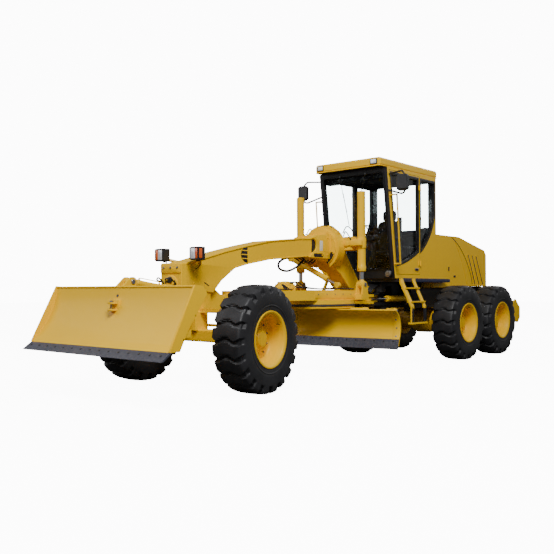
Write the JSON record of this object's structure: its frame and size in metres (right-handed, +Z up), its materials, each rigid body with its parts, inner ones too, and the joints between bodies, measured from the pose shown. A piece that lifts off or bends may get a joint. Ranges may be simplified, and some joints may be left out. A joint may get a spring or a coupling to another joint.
{
  "type": "motor grader",
  "caption": "Articulated motor grader with tandem rear wheels, a blade on a turning circle, a front dozer blade, a rear ripper, an opening cab and lift cylinders.",
  "frame": {"origin": "on the ground, on the centreline, midway between the dozer blade's cutting edge and the back of the ripper", "axes": "+Z up, -Y forward, +X to the driver's left"},
  "size_m": [3.3508, 10.25, 3.47],
  "materials": {
    "yellow_paint": "semi-gloss",
    "chrome": "polished",
    "glass": "clear",
    "wear_steel": "worn",
    "cast_iron": "matt",
    "black_paint": "satin",
    "seat": "matt",
    "plastic": "matt",
    "tyre": "matt rubber"
  },
  "bodies": {
    "rear": {"cab_body": "yellow_paint", "cab_roof": "yellow_paint", "engine_block": "cast_iron", "hood_front": "yellow_paint", "ladder_left": "black_paint", "ladder_right": "black_paint", "rear_frame": "black_paint", "rear_glass": "glass", "seat": "seat", "steering_console": "plastic", "tandem_axle": "black_paint", "windshield": "glass"},
    "middle_wheel_left": {"rim_middle_left": "yellow_paint", "tyre_middle_left": "tyre"},
    "rear_wheel_left": {"rim_rear_left": "yellow_paint", "tyre_rear_left": "tyre"},
    "middle_wheel_right": {"rim_middle_right": "yellow_paint", "tyre_middle_right": "tyre"},
    "rear_wheel_right": {"rim_rear_right": "yellow_paint", "tyre_rear_right": "tyre"},
    "door_left": {"door_glass_left": "glass", "door_left": "yellow_paint"},
    "door_right": {"door_glass_right": "glass", "door_right": "yellow_paint"},
    "hood_rear": {"hood_rear": "yellow_paint"},
    "ripper": {"ripper_beam": "yellow_paint"},
    "ripper_barrel": {"ripper_cylinder_barrel": "yellow_paint"},
    "ripper_rod": {"ripper_cylinder_rod": "chrome"},
    "front": {"front_axle": "yellow_paint", "front_frame": "yellow_paint", "saddle": "yellow_paint"},
    "knuckle_left": {"knuckle_left": "yellow_paint"},
    "front_wheel_left": {"rim_front_left": "yellow_paint", "tyre_front_left": "tyre"},
    "knuckle_right": {"knuckle_right": "yellow_paint"},
    "front_wheel_right": {"rim_front_right": "yellow_paint", "tyre_front_right": "tyre"},
    "tie_rod": {"tie_rod": "black_paint"},
    "dozer": {"dozer_blade": "yellow_paint", "dozer_edge": "wear_steel"},
    "dozer_barrel": {"dozer_cylinder_barrel": "yellow_paint"},
    "dozer_rod": {"dozer_cylinder_rod": "chrome"},
    "drawbar": {"drawbar": "yellow_paint"},
    "circle": {"circle": "yellow_paint"},
    "moldboard": {"moldboard": "yellow_paint", "moldboard_edge": "wear_steel", "side_shift_rod": "chrome"},
    "lift_left_barrel": {"lift_cylinder_left_barrel": "yellow_paint"},
    "lift_left_rod": {"lift_cylinder_left_rod": "chrome"},
    "lift_right_barrel": {"lift_cylinder_right_barrel": "yellow_paint"},
    "lift_right_rod": {"lift_cylinder_right_rod": "chrome"},
    "centre_shift_barrel": {"centre_shift_cylinder_barrel": "yellow_paint"},
    "centre_shift_rod": {"centre_shift_cylinder_rod": "chrome"},
    "articulation_left_barrel": {"articulation_cylinder_left_barrel": "yellow_paint"},
    "articulation_left_rod": {"articulation_cylinder_left_rod": "chrome"},
    "articulation_right_barrel": {"articulation_cylinder_right_barrel": "yellow_paint"},
    "articulation_right_rod": {"articulation_cylinder_right_rod": "chrome"}
  },
  "joints": [
    {"name": "articulation", "type": "hinge", "parent": "rear", "child": "front", "pos_m": [0, 0.775, 1.19], "axis": [0, 0, 1], "range_deg": [-27, 27]},
    {"name": "steering_left", "type": "hinge", "parent": "front", "child": "knuckle_left", "pos_m": [0.8, -3.425, 0.67], "axis": [0, 0, 1], "range_deg": [-47.5, 32.5]},
    {"name": "steering_right", "type": "hinge", "parent": "front", "child": "knuckle_right", "pos_m": [-0.8, -3.425, 0.67], "axis": [0, 0, 1], "range_deg": [-47.5, 32.5]},
    {"name": "tie_rod_pivot", "type": "hinge", "parent": "knuckle_left", "child": "tie_rod", "pos_m": [0.76606, -3.16722, 0.8], "axis": [0, 0, 1], "range_deg": [-32.5, 47.5]},
    {"name": "front_wheel_left_spin", "type": "hinge", "parent": "knuckle_left", "child": "front_wheel_left", "pos_m": [1.08752, -3.38715, 0.67], "axis": [0.9914, 0.1305, 0], "continuous": true},
    {"name": "middle_wheel_left_spin", "type": "hinge", "parent": "rear", "child": "middle_wheel_left", "pos_m": [1.09, 2.055, 0.67], "axis": [1, 0, 0], "continuous": true},
    {"name": "rear_wheel_left_spin", "type": "hinge", "parent": "rear", "child": "rear_wheel_left", "pos_m": [1.09, 3.535, 0.67], "axis": [1, 0, 0], "continuous": true},
    {"name": "front_wheel_right_spin", "type": "hinge", "parent": "knuckle_right", "child": "front_wheel_right", "pos_m": [-1.08752, -3.46285, 0.67], "axis": [0.9914, 0.1305, 0], "continuous": true},
    {"name": "middle_wheel_right_spin", "type": "hinge", "parent": "rear", "child": "middle_wheel_right", "pos_m": [-1.09, 2.055, 0.67], "axis": [1, 0, 0], "continuous": true},
    {"name": "rear_wheel_right_spin", "type": "hinge", "parent": "rear", "child": "rear_wheel_right", "pos_m": [-1.09, 3.535, 0.67], "axis": [1, 0, 0], "continuous": true},
    {"name": "drawbar_lift", "type": "hinge", "parent": "front", "child": "drawbar", "pos_m": [0, -3.005, 1.1], "axis": [1, 0, 0], "range_deg": [-24, 1]},
    {"name": "lift_cylinder_left_barrel_pivot", "type": "hinge", "parent": "front", "child": "lift_left_barrel", "pos_m": [0.62, -0.375, 2.01], "axis": [1, 0, 0], "range_deg": [-4.61, 0.67]},
    {"name": "lift_cylinder_left_rod_slide", "type": "slide", "parent": "lift_left_barrel", "child": "lift_left_rod", "axis": [0, 0, -1], "range_m": [-0.0507, 1.1008]},
    {"name": "lift_cylinder_right_barrel_pivot", "type": "hinge", "parent": "front", "child": "lift_right_barrel", "pos_m": [-0.62, -0.375, 2.01], "axis": [1, 0, 0], "range_deg": [-4.61, 0.67]},
    {"name": "lift_cylinder_right_rod_slide", "type": "slide", "parent": "lift_right_barrel", "child": "lift_right_rod", "axis": [0, 0, -1], "range_m": [-0.0507, 1.1008]},
    {"name": "centre_shift_cylinder_barrel_pivot", "type": "hinge", "parent": "front", "child": "centre_shift_barrel", "pos_m": [-0.52, -0.735, 1.79], "axis": [0, 1, 0], "range_deg": [-1.77, 30.97]},
    {"name": "centre_shift_cylinder_rod_slide", "type": "slide", "parent": "centre_shift_barrel", "child": "centre_shift_rod", "axis": [0.9002, 0, -0.4356], "range_m": [-0.0318, 0.6476]},
    {"name": "circle_turn", "type": "hinge", "parent": "drawbar", "child": "circle", "pos_m": [0, -0.975, 0.99], "axis": [0, 0, 1], "continuous": true},
    {"name": "blade_side_shift", "type": "slide", "parent": "circle", "child": "moldboard", "axis": [-0.9945, -0.1045, 0], "range_m": [-0.55, 0.3]},
    {"name": "dozer_lift", "type": "hinge", "parent": "front", "child": "dozer", "pos_m": [0, -3.885, 0.78], "axis": [1, 0, 0], "range_deg": [-2, 33]},
    {"name": "dozer_cylinder_barrel_pivot", "type": "hinge", "parent": "front", "child": "dozer_barrel", "pos_m": [0, -3.925, 1.29], "axis": [1, 0, 0], "range_deg": [-2.52, 33.76]},
    {"name": "dozer_cylinder_rod_slide", "type": "slide", "parent": "dozer_barrel", "child": "dozer_rod", "axis": [0, -0.9887, 0.1501], "range_m": [-0.0227, 0.2967]},
    {"name": "articulation_cylinder_left_barrel_pivot", "type": "hinge", "parent": "rear", "child": "articulation_left_barrel", "pos_m": [0.42, 1.375, 1.11], "axis": [0, 0, 1], "range_deg": [-13.69, 13.69]},
    {"name": "articulation_cylinder_left_rod_slide", "type": "slide", "parent": "articulation_left_barrel", "child": "articulation_left_rod", "axis": [-0.0333, -0.9994, 0], "range_m": [-0.1922, 0.1922]},
    {"name": "articulation_cylinder_right_barrel_pivot", "type": "hinge", "parent": "rear", "child": "articulation_right_barrel", "pos_m": [-0.42, 1.375, 1.11], "axis": [0, 0, 1], "range_deg": [-13.69, 13.69]},
    {"name": "articulation_cylinder_right_rod_slide", "type": "slide", "parent": "articulation_right_barrel", "child": "articulation_right_rod", "axis": [0.0333, -0.9994, 0], "range_m": [-0.1922, 0.1922]},
    {"name": "ripper_lift", "type": "hinge", "parent": "rear", "child": "ripper", "pos_m": [0, 4.435, 0.86], "axis": [1, 0, 0], "range_deg": [-45, 2]},
    {"name": "ripper_cylinder_barrel_pivot", "type": "hinge", "parent": "rear", "child": "ripper_barrel", "pos_m": [0, 4.425, 1.24], "axis": [1, 0, 0], "range_deg": [-24.6, 1.57]},
    {"name": "ripper_cylinder_rod_slide", "type": "slide", "parent": "ripper_barrel", "child": "ripper_rod", "axis": [0, 0.8384, -0.545], "range_m": [-0.0145, 0.2191]},
    {"name": "door_left_hinge", "type": "hinge", "parent": "rear", "child": "door_left", "pos_m": [0.71507, 1.365, 0], "axis": [0, 0, 1], "range_deg": [0, 80]},
    {"name": "door_right_hinge", "type": "hinge", "parent": "rear", "child": "door_right", "pos_m": [-0.71507, 1.365, 0], "axis": [0, 0, -1], "range_deg": [0, 80]},
    {"name": "hood_hinge", "type": "hinge", "parent": "rear", "child": "hood_rear", "pos_m": [0, 4.325, 1.3303], "axis": [-1, 0, 0], "range_deg": [0, 45]}
  ],
  "couplings": [
    {"joint": "steering_right", "follows": "steering_left", "ratio": 1},
    {"joint": "tie_rod_pivot", "follows": "steering_left", "ratio": -1},
    {"joint": "lift_cylinder_left_barrel_pivot", "follows": "drawbar_lift", "ratio": 0.17104},
    {"joint": "lift_cylinder_left_rod_slide", "follows": "drawbar_lift", "m_per_rad": -2.6161},
    {"joint": "lift_cylinder_right_barrel_pivot", "follows": "drawbar_lift", "ratio": 0.17104},
    {"joint": "lift_cylinder_right_rod_slide", "follows": "drawbar_lift", "m_per_rad": -2.6161},
    {"joint": "centre_shift_cylinder_barrel_pivot", "follows": "drawbar_lift", "ratio": -1.2696},
    {"joint": "centre_shift_cylinder_rod_slide", "follows": "drawbar_lift", "m_per_rad": -1.5342},
    {"joint": "dozer_cylinder_barrel_pivot", "follows": "dozer_lift", "ratio": 1.0078},
    {"joint": "dozer_cylinder_rod_slide", "follows": "dozer_lift", "m_per_rad": 0.50645},
    {"joint": "articulation_cylinder_left_barrel_pivot", "follows": "articulation", "ratio": 0.48857},
    {"joint": "articulation_cylinder_left_rod_slide", "follows": "articulation", "m_per_rad": -0.39735},
    {"joint": "articulation_cylinder_right_barrel_pivot", "follows": "articulation", "ratio": 0.48857},
    {"joint": "articulation_cylinder_right_rod_slide", "follows": "articulation", "m_per_rad": 0.39735},
    {"joint": "ripper_cylinder_barrel_pivot", "follows": "ripper_lift", "ratio": 0.5356},
    {"joint": "ripper_cylinder_rod_slide", "follows": "ripper_lift", "m_per_rad": -0.27266}
  ]
}
